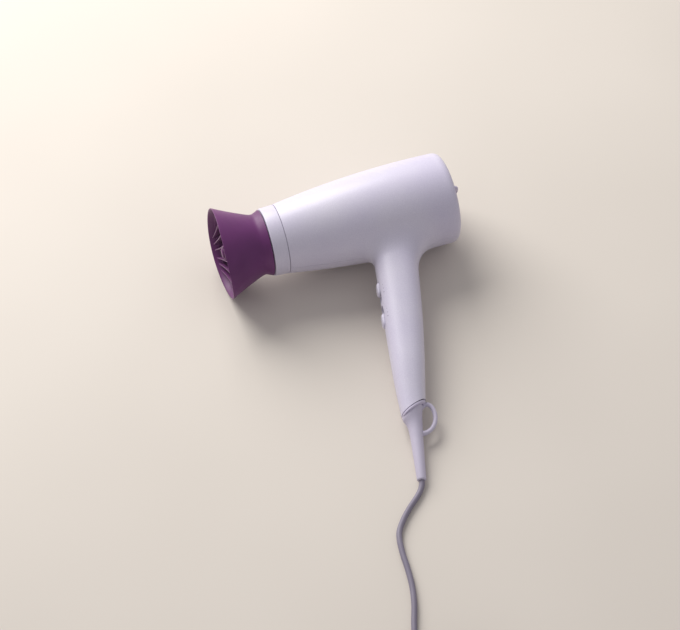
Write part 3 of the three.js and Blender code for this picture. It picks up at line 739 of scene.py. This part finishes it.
def collar_radius(x):
    """The collar's outside: the horn's flare running softly into a short cone the other way."""
    share = (x - NECK_X - 1.4) / (COLLAR_REAR_X - NECK_X - 1.8)
    cone = NECK_RADIUS - 1.2 + (COLLAR_RADIUS + 1.4 - NECK_RADIUS) * share
    flare = horn_radius(x)
    return flare + COLLAR_BLEND * math.log1p(math.exp((cone - flare) / COLLAR_BLEND))


def bowed(point):
    """Two opposite sides of the horn reach a little further forward towards the mouth."""
    x, y, z = point
    share = min(max((NECK_X - x) / (NECK_X - MOUTH_X), 0), 1) ** 2
    aside = (y * math.cos(BOW_SIDE) + z * math.sin(BOW_SIDE)) / MOUTH_RADIUS
    return (x - MOUTH_BOW * share * aside**2, y, z)


def diffuser_horn(paint):
    """The flare from neck to mouth, and the short collar that spreads the other way."""
    outer = np.linspace(MOUTH_X, NECK_X - 5, 11)
    collar = np.linspace(NECK_X - 4, COLLAR_REAR_X - 1, 12)
    inner = np.linspace(NECK_X, MOUTH_X + 2, 12)
    bore = NOSE_RADIUS + 1.7
    profile = [(outer[0], horn_radius(outer[0]), 0.7)]
    profile += [(x, horn_radius(x), 0) for x in outer[1:]]
    profile += [(x, collar_radius(x), 0) for x in collar]
    profile += [
        (COLLAR_REAR_X - 0.4, collar_radius(COLLAR_REAR_X - 0.4), 0.5),
        (COLLAR_REAR_X, COLLAR_RADIUS - 1.8, 0.5),
        (COLLAR_REAR_X - 2, bore + 0.6, 0.5),
        (NECK_X + 1.4, bore, 1),
    ]
    profile += [(x, horn_radius(x) - HORN_WALL, 0) for x in inner]
    profile.append((MOUTH_X, MOUTH_RADIUS - HORN_WALL + 0.1, 0.6))
    vertices, faces = turned(profile, 192)
    piece(
        "diffuser_flare", "diffuser", "purple_plastic", paint["purple"], [bowed(v) for v in vertices], faces,
        stands_for=["diffuser_horn"],
    )


def vane(offset):
    """One straight guide vane across the horn, past the hub at a given distance, as a grid of quads."""
    turn = math.radians(VANE_LEAN + VANE_FAN * offset)
    grid = []
    for x in np.linspace(BLADE["front"], BLADE["rear"], 7):
        reach = math.sqrt((horn_radius(x) - HORN_WALL - 1.1) ** 2 - offset**2)
        row = []
        for y in np.linspace(-reach, reach, 25):
            across = y * math.cos(turn) + offset * math.sin(turn)
            up = y * math.sin(turn) - offset * math.cos(turn)
            row.append(bowed((x, across, up)))
        grid.append(row)
    return grid


def diffuser_blades(paint):
    """The insert in the mouth: guide vanes, a hub with a button on it, and a lining."""
    vertices, faces = [], []
    for offset in VANES:
        rows = vane(offset)
        across = len(rows[0])
        first = len(vertices)
        vertices += [point for row in rows for point in row]
        faces += [
            (first + i * across + j, first + (i + 1) * across + j,
             first + (i + 1) * across + j + 1, first + i * across + j + 1)
            for i in range(len(rows) - 1)
            for j in range(across - 1)
        ]
    blades = piece(
        "diffuser_vanes", "diffuser", "purple_plastic", paint["purple"], vertices, faces,
        stands_for=["diffuser_blades"],
    )
    sheet = blades.modifiers.new("sheet", "SOLIDIFY")
    sheet.thickness = BLADE["thick"] * MM
    sheet.offset = 0
    bevelled(blades, 0.3, 3, 50)
    hub = [
        (BLADE["front"], 0, 0),
        (BLADE["front"], BLADE["hub"], 1.4),
        (BLADE["rear"], BLADE["hub"], 0.5),
        (BLADE["rear"], 0, 0),
    ]
    piece(
        "diffuser_hub", "diffuser", "purple_plastic", paint["purple"], *turned(hub, 64, closed_loop=False)
    )
    liner = [
        (x, horn_radius(x) - HORN_WALL - inset, 0.4)
        for x, inset in (
            (BLADE["front"] + 2, 0.7), (BLADE["rear"], 0.7), (BLADE["rear"], 1.9), (BLADE["front"] + 2, 1.9)
        )
    ]
    piece("diffuser_liner", "diffuser", "purple_plastic", paint["purple"], *turned(liner, 144))
    cap = [
        (BLADE["front"] - 1.7, 0, 0),
        (BLADE["front"] - 1.4, BLADE["hub"] - 3, 1.2),
        (BLADE["front"] - GAP, BLADE["hub"] - 2, 0.3),
        (BLADE["front"] - GAP, 0, 0),
    ]
    piece(
        "diffuser_hub_button", "diffuser", "purple_plastic", paint["purple"],
        *turned(cap, 64, closed_loop=False), stands_for=["diffuser_hub_cap"],
    )


# ---------------------------------------------------------------- air inlet
GRILLE_SLOTS = 16


def rear_grille(paint):
    """The domed inlet cover: a sheet with radial slots left out of it, and a rolled rim."""
    drop = REAR_CREST_X - HOUSING_END_X - GAP
    edge = INLET_RADIUS - 0.4
    per_slot = 16
    around = GRILLE_SLOTS * per_slot
    radii = [0.01, 3, 6, 9, 12, 13.4, 14.2, *np.linspace(16, 31.5, 9), 32.8, 33.5, 35, 36.4, edge - 0.5, edge]
    rings = []
    for r in radii:
        x = REAR_CREST_X - drop * (r / INLET_RADIUS) ** 2.2
        ring = []
        for j in range(around):
            step = 2 * math.pi / GRILLE_SLOTS
            whole, part = divmod(j, per_slot)
            share = part / per_slot
            half = min(1.15 / max(r, 4), 0.3 * step) / step
            warped = np.interp(share, [0, 0.25, 0.75, 1], [0, half, 1 - half, 1])
            angle = (whole + warped) * step
            ring.append((x, r * math.cos(angle), r * math.sin(angle)))
        rings.append(ring)
    vertices, faces = loft(rings)
    kept = []
    for face in faces:
        row, column = divmod(face[0], around)
        in_slot = 13 < radii[row] + 0.5 < 33.4 and column % per_slot in (0, 1, 2, 3, 12, 13, 14, 15)
        if not in_slot:
            kept.append(face)
    cover = piece(
        "inlet_cover", "inlet_grille", "lilac_plastic", paint["lilac"], vertices, kept,
        stands_for=["rear_grille"],
    )
    wall = cover.modifiers.new("wall", "SOLIDIFY")
    wall.thickness = 1.8 * MM
    wall.offset = -1
    bevelled(cover, 0.3, 2, 50)
    rim_radius = INLET_RADIUS - WALL - GAP
    rim = [
        (HOUSING_END_X - 3.2, rim_radius - 1.8, 0.4),
        (HOUSING_END_X - 3.2, rim_radius, 0.4),
        (HOUSING_END_X - 0.6, rim_radius, 0),
        (HOUSING_END_X - 0.6, rim_radius - 1.8, 0),
    ]
    piece("inlet_cover_skirt", "inlet_grille", "lilac_plastic", paint["lilac"], *turned(rim, 144))
    inlet_grip(paint)


def inlet_grip(paint):
    """The rounded ridge across the cover's middle that it is turned by."""
    half_length, half_width, middle_y = 7, 3, 4.5
    rings = []
    for u in np.linspace(-1, 1, 25):
        z = half_length * math.sin(u * math.pi / 2)
        size = max(1 - abs(z / half_length) ** 4, 0.06) ** 0.5
        ring = []
        for k in range(32):
            a = 2 * math.pi * k / 32
            y = middle_y + half_width * size * math.copysign(abs(math.cos(a)) ** 0.7, math.cos(a))
            rise = (GRIP_CREST_X - REAR_CREST_X + 1) * size
            x = REAR_CREST_X - 1 + rise * max(math.sin(a), -0.2)
            ring.append((x, y, z))
        rings.append(ring)
    piece("inlet_grip", "inlet_grille", "lilac_plastic", paint["lilac"], *loft(rings, cap_ends=True))


# ---------------------------------------------------------------- sliders
def rounded_square(angle):
    """A point on the outline of a square with well rounded corners, for an angle."""
    return [math.copysign(abs(v) ** 0.62, v) for v in (math.cos(angle), math.sin(angle))]


def thumb_height(along, aside, ring):
    """How far a thumb's face stands out, with ridges across all but its border rings."""
    end_drop = 0.25 * abs(2 * along / THUMB_LENGTH) ** 2.5
    side_drop = 0.2 * abs(2 * aside / THUMB_WIDTH) ** 2
    height = (THUMB_RISE - RIDGE_HEIGHT) * min(1, (ring / 4) ** 0.5) * (1 - end_drop - side_drop)
    on_face = abs(along) < 4.9 and abs(aside) < 0.375 * THUMB_WIDTH and ring > 5
    ridge = RIDGE_HEIGHT * max(math.cos(2 * math.pi * along / RIDGE_PITCH), 0)
    return height + (ridge if on_face else 0)


def thumb(name, body, top, node, paint):
    """A rounded thumb with ridges across it, as rings that shrink towards its middle, and a skirt."""
    middle = top + THUMB_LENGTH / 2
    face = float(front_half(middle))
    around, count = 72, 26
    rings = []
    for i in range(count):
        size = 1 - i / count
        ring = []
        for j in range(around):
            u, v = rounded_square(2 * math.pi * j / around)
            along, aside = u * size * THUMB_LENGTH / 2, v * size * THUMB_WIDTH / 2
            ring.append((face + thumb_height(along, aside, i), -middle + along, aside))
        rings.append(ring)
    skirt = [[(face - 4.4, y, 0.86 * z) for _, y, z in rings[0]]]
    lean = Matrix.Translation((face, -middle, 0)) @ Matrix.Rotation(-RAIL_TILT, 4, "Z")
    lean = lean @ Matrix.Translation((-face, middle, 0))
    piece(
        name, body, "pearl_shell", paint["pearl"], *loft(skirt + rings, cap_ends=True), HANDLE_TO_ROW @ lean,
        stands_for=[node],
    )


# ---------------------------------------------------------------- handle end
def handle_ring(t, inset, sides=96):
    ring = []
    for k in range(sides):
        a = 2 * math.pi * k / sides
        c, s = math.cos(a), math.sin(a)
        half = float(front_half(t) if c > 0 else rear_half(t)) - inset
        p = half * math.copysign(abs(c) ** (2 / SQUARENESS), c)
        z = (float(side_half(t)) - inset) * math.copysign(abs(s) ** (2 / SQUARENESS), s)
        ring.append(from_handle(t + END_SLANT * p * float(taper(t)), p, z))
    return ring


def end_band(paint):
    start, end = HANDLE_END_T + GAP, HANDLE_END_T + GAP + BAND_HEIGHT
    outer = [
        handle_ring(start, 3.0), handle_ring(start, 0.9), handle_ring(start + 0.15, 0.5),
        handle_ring(start + 0.6, 0.3), handle_ring(end - 0.7, 0.3), handle_ring(end - 0.2, 0.55),
        handle_ring(end, 1.1), handle_ring(end, 3.0),
    ]
    piece(
        "handle_end_band", "housing", "lilac_plastic", paint["lilac"], *loft(outer, closed_rows=True),
        stands_for=["end_band"],
    )


# Levels down the strain relief, with how far it reaches to the front, to the rear and to the sides.
RELIEF_SHAPE = [
    (203, 10.6, 8.4, 10.6), (205.6, 9.6, 7.8, 9.6), (209, 8.4, 7.1, 8.4), (213, 7.3, 6.6, 7.3),
    (219, 6.3, 6.1, 6.4), (228, 5.6, 5.6, 5.7), (245, 4.9, 4.9, 4.9), (RELIEF_TIP_T - 1, 4.1, 4.1, 4.1),
    (RELIEF_TIP_T - 0.3, 3.8, 3.8, 3.8), (RELIEF_TIP_T, 3.1, 3.1, 3.1),
]


def relief_ring(level, front, rear, side, sides=64):
    """A section of the relief, slanted like the handle's end at first and square to it lower down."""
    slant = END_SLANT * (1 - float(ease((level - 203) / 22)))
    ring = []
    for k in range(sides):
        a = 2 * math.pi * k / sides
        p = (front if math.cos(a) > 0 else rear) * math.cos(a)
        ring.append(from_handle(level + slant * p, p, side * math.sin(a)))
    return ring


def strain_relief(paint):
    """A soft cone that grows out of the slanted band."""
    levels = [row[0] for row in RELIEF_SHAPE]
    steps = [*np.linspace(levels[0] - 1, levels[-3], 56), *levels[-2:]]
    front, rear, side = [[row[k] for row in RELIEF_SHAPE] for k in (1, 2, 3)]
    spread = [[float(np.interp(t, levels, reach)) for reach in (front, rear, side)] for t in steps]
    rings = []
    for i, level in enumerate(steps):
        near = spread[max(i - 2, 0) : i + 3] if i < len(steps) - 3 else [spread[i]]
        rings.append(relief_ring(level, *np.mean(near, axis=0)))
    piece(
        "lead_relief", "housing", "soft_lilac", paint["soft"], *loft(rings, cap_ends=True),
        stands_for=["strain_relief"],
    )


LOOP_ROUTE = [
    (199.8, -5.6), (196.8, -9.6), (196.4, -13), (199, -16), (203.8, -17.8), (209.8, -18.1),
    (215.8, -16.4), (220.6, -12.8), (223, -8.4), (223.6, -4.6),
]


def loop_radius(share):
    """Thicker towards both ends."""
    return 1.95 + 0.5 * float(ease((abs(2 * share - 1) - 0.6) / 0.4))


def hanging_loop(paint):
    """The loop, from the end of the slanted band round to the strain relief."""
    path = smooth_path([from_handle(t, p, 0) for t, p in LOOP_ROUTE])
    piece(
        "loop_for_hook", "housing", "soft_lilac", paint["soft"], *swept(path, loop_radius, 28),
        stands_for=["hanging_loop"],
    )


# ---------------------------------------------------------------- mains lead
LEAD_ROUTE = [
    (-12.3, -149.9, 4.4), (-13.9, -154.6, 3.5), (-17.2, -159.6, 2.8), (-22.6, -165, 2.6),
    (-30.8, -172.2, 2.6), (-40, -181.8, 2.6), (-47.6, -193.4, 2.6), (-50.6, -209, 2.6),
    (-51.6, -226, 2.6), (-53.4, -243, 2.6), (-57.4, -259.6, 2.6), (-63.2, -276, 2.6),
    (-68.4, -293, 2.8), (-72.6, -306.6, 3.4), (-74.8, -314.2, 3.7),
]
COIL_INNER, COIL_SPREAD = 27.0, 5.1
COIL_BOTTOM_Z, COIL_PITCH = 3.85, 5.05
COIL_LAYERS = 4
PLUG_Z = PLUG_HALF_HEIGHT + 0.1
CROSSING, CLIMB, DROP, LEAVING = 0.28, 0.18, 0.28, 0.36  # shares of a turn
POINTS_PER_TURN = 40


def coil_turns():
    """Two turns in each layer, beside each other and then on top, then out and down to the plug's height."""
    turns = []
    start = math.pi + LEAD_HEADING
    count = int((2 * COIL_LAYERS + LEAVING) * POINTS_PER_TURN)
    for i in range(count + 1):
        turn = i / POINTS_PER_TURN
        angle = start + 2 * math.pi * turn
        layer = min(int(turn / 2), COIL_LAYERS - 1)
        inside = turn - 2 * layer
        last = layer == COIL_LAYERS - 1
        crossed = float(ease((inside - 1) / CROSSING + 0.5))
        outward = crossed if layer % 2 else 1 - crossed
        climb = 0 if last else float(ease((inside - 2) / CLIMB + 1))
        z = COIL_BOTTOM_Z + COIL_PITCH * (layer + climb)
        if last:
            outward += float(ease((inside - 2) / CROSSING + 0.5))
            z += (PLUG_Z - z) * float(ease((inside - 2 - LEAVING) / DROP + 1))
        radius = COIL_INNER + COIL_SPREAD * outward
        x, y = radius * math.cos(angle), radius * math.sin(angle)
        turns.append((COIL_CENTRE[0] + x, COIL_CENTRE[1] + y, z))
    return turns


# From the last turn to the plug, beside the coil.
PLUG_ROUTE = [(28.4, -26.2, PLUG_Z), (33, -24.5, PLUG_Z), (38, PLUG_ASIDE, PLUG_Z)]


def lead(paint):
    """The whole lead as one curve, from the strain relief's tip to the plug."""
    turns = coil_turns()
    run = [tuple(BESIDE_COIL @ Vector(place) / MM) for place in PLUG_ROUTE]
    per_span = 6
    joined_on = smooth_path([*LEAD_ROUTE, turns[0], turns[2]], per_span)[:-per_span]
    leaving = smooth_path([turns[-3], turns[-1], *run], per_span)[per_span + 1 :]
    path = [*joined_on, *turns[1:], *leaving]
    data = bpy.data.curves.new("mains_lead", "CURVE")
    data.dimensions = "3D"
    data.bevel_depth = CORD_RADIUS * MM
    data.bevel_resolution = 5
    data.use_fill_caps = True
    spline = data.splines.new("POLY")
    spline.points.add(len(path) - 1)
    for point, place in zip(spline.points, path):
        point.co = (*(Vector(place) * MM), 1)
    data.materials.append(paint["cord"])
    curve = bpy.data.objects.new("mains_lead", data)
    bpy.context.collection.objects.link(curve)
    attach(curve, "housing")
    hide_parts("lead_tube", "lead_coil")
    length = sum((Vector(a) - Vector(b)).length for a, b in zip(path, path[1:])) * MM
    return curve, length


def coil_tie(paint):
    """A strap with rounded corners round the bundle of turns."""
    sheet, corner = 1.2, 3.4
    near, far = COIL_INNER - CORD_RADIUS - sheet, COIL_INNER + COIL_SPREAD + CORD_RADIUS + sheet
    under = COIL_BOTTOM_Z - CORD_RADIUS - 0.4
    over = COIL_BOTTOM_Z + COIL_PITCH * (COIL_LAYERS - 1) + CORD_RADIUS + 0.7
    outline = rounded(
        [(near, under, corner), (far, under, corner), (far, over, corner), (near, over, corner)], True, 6
    )
    rings = []
    middle = Vector(((near + far) / 2, (under + over) / 2))
    for inset, aside in ((0, -4), (0.25, -4.2), (0.75, -4.2), (0.75, 4.2), (0.25, 4.2), (0, 4)):
        ring = []
        for point in outline:
            inward = (middle - point).normalized() * (inset - 0.35)
            ring.append((aside, point.x + inward.x, point.y + inward.y))
        rings.append(ring)
    return piece(
        "lead_strap", "housing", "black_plastic", paint["black"], *loft(rings, closed_rows=True),
        place=BESIDE_COIL, stands_for=["coil_tie"],
    )


def plug_ring(x, wide, high, sides=64, squareness=0.9):
    ring = []
    for k in range(sides):
        a = 2 * math.pi * k / sides
        c, s = math.cos(a), math.sin(a)
        y = PLUG_ASIDE + wide * math.copysign(abs(c) ** squareness, c)
        z = PLUG_Z + high * math.copysign(abs(s) ** squareness, s)
        ring.append((x, y, z))
    return ring


def plug(paint):
    """A moulded two-pin plug: a body that narrows into a grip, a ribbed relief and two plated pins."""
    rings = []
    span = PLUG_FRONT - PLUG_BACK
    edge = 1.2
    for x in np.linspace(PLUG_BACK, PLUG_FRONT - edge, 44):
        narrow = 0.48 + 0.52 * float(ease((x - PLUG_BACK) / (0.62 * span)))
        grip = 1 - 0.035 * max(math.sin(2 * math.pi * (x - PLUG_BACK) / 3.6), 0) * (x < PLUG_BACK + 15)
        rings.append(plug_ring(x, PLUG_HALF_WIDTH * narrow * grip, PLUG_HALF_HEIGHT * narrow * grip))
    for k in range(1, 6):
        a = k / 5 * math.pi / 2
        inset = edge * (1 - math.cos(a))
        x = PLUG_FRONT - edge + edge * math.sin(a)
        rings.append(plug_ring(x, PLUG_HALF_WIDTH - inset, PLUG_HALF_HEIGHT - inset))
    body = piece(
        "plug_moulding", "housing", "lead_sleeve", paint["cord"], *loft(rings, cap_ends=True),
        place=BESIDE_COIL, stands_for=["plug_body"],
    )
    rings = []
    back = PLUG_BACK - PLUG_RELIEF
    for x in np.linspace(back, PLUG_BACK - GAP, 60):
        size = 3.4 + 2.4 * (x - back) / PLUG_RELIEF
        rib = 0.55 * (math.cos(2 * math.pi * (x - back) / 3) > 0.2) * (x > back + 1.5)
        rings.append(plug_ring(x, size - 0.55 + rib, size - 0.55 + rib, 40, 1))
    relief = piece(
        "plug_sleeve", "housing", "lead_sleeve", paint["cord"], *loft(rings, cap_ends=True),
        place=BESIDE_COIL, stands_for=["plug_relief"],
    )
    pieces = [body, relief]
    for number, side in enumerate((-1, 1), 1):
        rings = []
        profile = [(0, 2.3), (0.2, 2.4), (10.4, 2.4), (10.7, 2.2), (11, 2.4)]
        profile += [(PIN_LENGTH - PIN_RADIUS + PIN_RADIUS * math.sin(a), PIN_RADIUS * math.cos(a) + 1e-3)
                    for a in np.linspace(0, math.pi / 2, 7)]
        for x, r in profile:
            angles = [2 * math.pi * j / 32 for j in range(32)]
            rings.append([
                (PLUG_FRONT + GAP + x, PLUG_ASIDE + side * PIN_APART / 2 + r * math.cos(a),
                 PLUG_Z + r * math.sin(a))
                for a in angles
            ])
        pieces.append(piece(
            f"plug_prong_{number}", "housing", "plated_pin", paint["nickel"], *loft(rings, cap_ends=True),
            place=BESIDE_COIL, stands_for=[f"plug_pin_{number}"],
        ))
    return pieces


# ---------------------------------------------------------------- carried-over CAD nodes
NODE_PAINT = {
    "black": ["diffuser_snap_ring", "thermostat", "fan_duct", "motor_end_cap", "fan_impeller",
              "heat_switch", "speed_switch", "cable_clamp"],
    "steel": ["housing_screw_1", "housing_screw_2", "thermal_fuse", "motor_can", "motor_shaft",
              "clamp_screw_1", "clamp_screw_2"],
    "nichrome": ["heating_coil_1", "heating_coil_2"],
    "mica": ["heater_tube", "mica_board_a", "mica_board_b"],
    "circuit": ["rectifier_board", "switch_board"],
    "weave": ["filter_mesh"],
    "red_wire": ["wire_live", "wire_heater"],
    "blue_wire": ["wire_neutral", "wire_motor"],
}


def paint_nodes(paint):
    """Gives each inner CAD piece its material."""
    for key, names in NODE_PAINT.items():
        for name in names:
            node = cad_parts[name]
            for slot in node.material_slots:
                slot.material = paint[key]


# ---------------------------------------------------------------- stage
def floor():
    surface = Surface("pale_floor", Roughness=0.7)
    surface.colour(surface.ramp(surface.noise(300, 2), (0.3, linear("D9D1C8")), (0.7, linear("DED6CD"))))
    mesh = bpy.data.meshes.new("floor")
    reach = 6
    mesh.from_pydata([(-reach, -reach, 0), (reach, -reach, 0), (reach, reach, 0), (-reach, reach, 0)], [],
                     [(0, 1, 2, 3)])
    mesh.materials.append(surface.material)
    plane = bpy.data.objects.new("floor", mesh)
    bpy.context.collection.objects.link(plane)


def soft_light(name, place, aim, size, watts, colour=(1, 1, 1)):
    data = bpy.data.lights.new(name, "AREA")
    data.shape = "DISK"
    data.size = size
    data.energy = watts
    data.color = colour
    light = bpy.data.objects.new(name, data)
    light.location = place
    light.rotation_euler = (Vector(aim) - Vector(place)).to_track_quat("-Z", "Y").to_euler()
    bpy.context.collection.objects.link(light)


def lights():
    """Soft daylight from beyond the barrel and to its left, in a pale room."""
    world = bpy.data.worlds.new("room")
    world.use_nodes = True
    back = world.node_tree.nodes["Background"]
    back.inputs["Color"].default_value = (0.9, 0.89, 0.92, 1)
    back.inputs["Strength"].default_value = 0.48
    bpy.context.scene.world = world
    soft_light("window", (-0.5, 1.6, 1.15), (0, 0.05, 0.03), 1.7, 52, (1, 0.985, 0.95))
    bpy.context.scene.view_settings.view_transform = "Standard"


# ---------------------------------------------------------------- making it
camera()
paint = materials()
lead_curve, lead_length = lead(paint)
plug_pieces = plug(paint)
strap = coil_tie(paint)

housing_shells(paint)
screw_wells(paint)
slider_marks(paint)
front_ring(paint)
outlet_guard(paint)
diffuser_horn(paint)
diffuser_blades(paint)
rear_grille(paint)
thumb("heat_thumb_piece", "heat_thumb", HEAT_SLOT_T + GAP, "heat_slider", paint)
thumb("speed_thumb_piece", "speed_thumb", SPEED_SLOT_T + SLIDE_TRAVEL + GAP, "speed_slider", paint)
end_band(paint)
strain_relief(paint)
hanging_loop(paint)
paint_nodes(paint)
floor()
lights()
